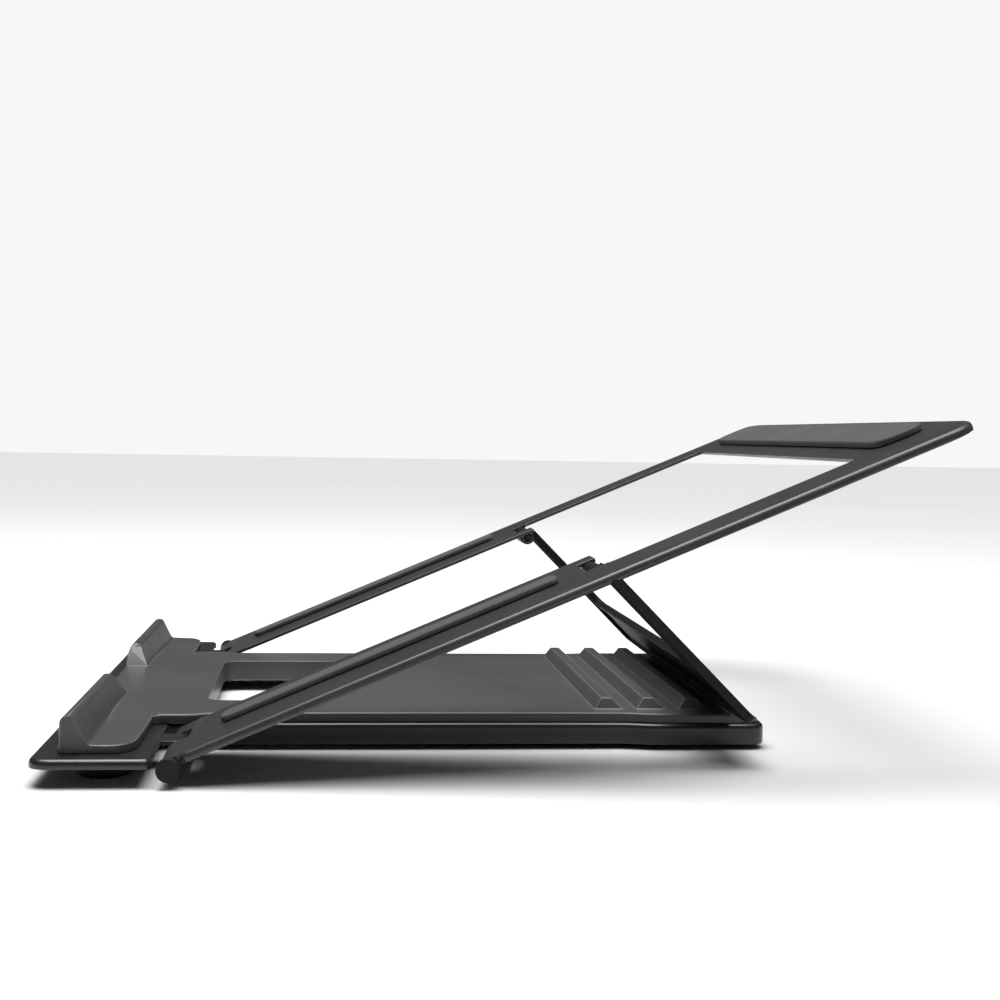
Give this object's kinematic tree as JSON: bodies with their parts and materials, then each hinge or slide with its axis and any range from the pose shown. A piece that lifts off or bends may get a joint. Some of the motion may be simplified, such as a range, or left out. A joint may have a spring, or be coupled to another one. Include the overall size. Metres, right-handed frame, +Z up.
{
  "type": "folding laptop and tablet stand",
  "caption": "Folding desk stand: flat base with front stops and a moulded deck, tilting U-shaped frame with pads, and a swinging prop leg that stands in ridges.",
  "frame": {"origin": "middle of the footprint, at table height", "axes": "+X across the stand along the hinges, +Y from the front stops to the rear, +Z up"},
  "size_m": [0.2432, 0.2556, 0.1005],
  "materials": {
    "base_steel": "satin powder coat",
    "frame_steel": "fine textured powder coat",
    "deck_plastic": "matt moulded",
    "pad_rubber": "matt",
    "foot_rubber": "matt",
    "pin_steel": "blackened",
    "cap_plastic": "satin"
  },
  "bodies": {
    "base": {"base_plate": "base_steel", "deck_cover": "deck_plastic", "deck_screw_1": "pin_steel", "deck_screw_2": "pin_steel", "deck_screw_3": "pin_steel", "deck_screw_4": "pin_steel", "front_foot_right": "foot_rubber", "front_foot_left": "foot_rubber", "rear_foot_right": "foot_rubber", "rear_foot_left": "foot_rubber"},
    "hinge_pins": {"hinge_pin_right": "pin_steel", "hinge_pin_left": "pin_steel", "hinge_cap_right": "cap_plastic", "hinge_cap_left": "cap_plastic"},
    "frame": {"tilt_frame": "frame_steel", "rear_pad": "pad_rubber", "side_pad_right": "pad_rubber", "side_pad_left": "pad_rubber"},
    "leg_pins": {"prop_pin_right": "pin_steel", "prop_pin_left": "pin_steel"},
    "leg": {"prop_leg": "base_steel", "foot_sleeve": "foot_rubber"}
  },
  "joints": [
    {"name": "fold_hinge", "type": "hinge", "parent": "base", "child": "hinge_pins", "pos_m": [0, -0.09116, 0.00514], "axis": [1, 0, 0], "range_deg": [-23.1, 0]},
    {"name": "raise_hinge", "type": "hinge", "parent": "hinge_pins", "child": "frame", "pos_m": [0, -0.09116, 0.00514], "axis": [1, 0, 0], "range_deg": [0, 10]},
    {"name": "prop_fold", "type": "hinge", "parent": "frame", "child": "leg_pins", "pos_m": [0, 0.02652, 0.05474], "axis": [1, 0, 0], "range_deg": [0, 76.81]},
    {"name": "prop_raise", "type": "hinge", "parent": "leg_pins", "child": "leg", "pos_m": [0, 0.02652, 0.05474], "axis": [1, 0, 0], "range_deg": [-25, 0]}
  ],
  "couplings": [
    {"joint": "prop_fold", "follows": "fold_hinge", "ratio": -3.325},
    {"joint": "prop_raise", "follows": "raise_hinge", "ratio": -2.5}
  ]
}
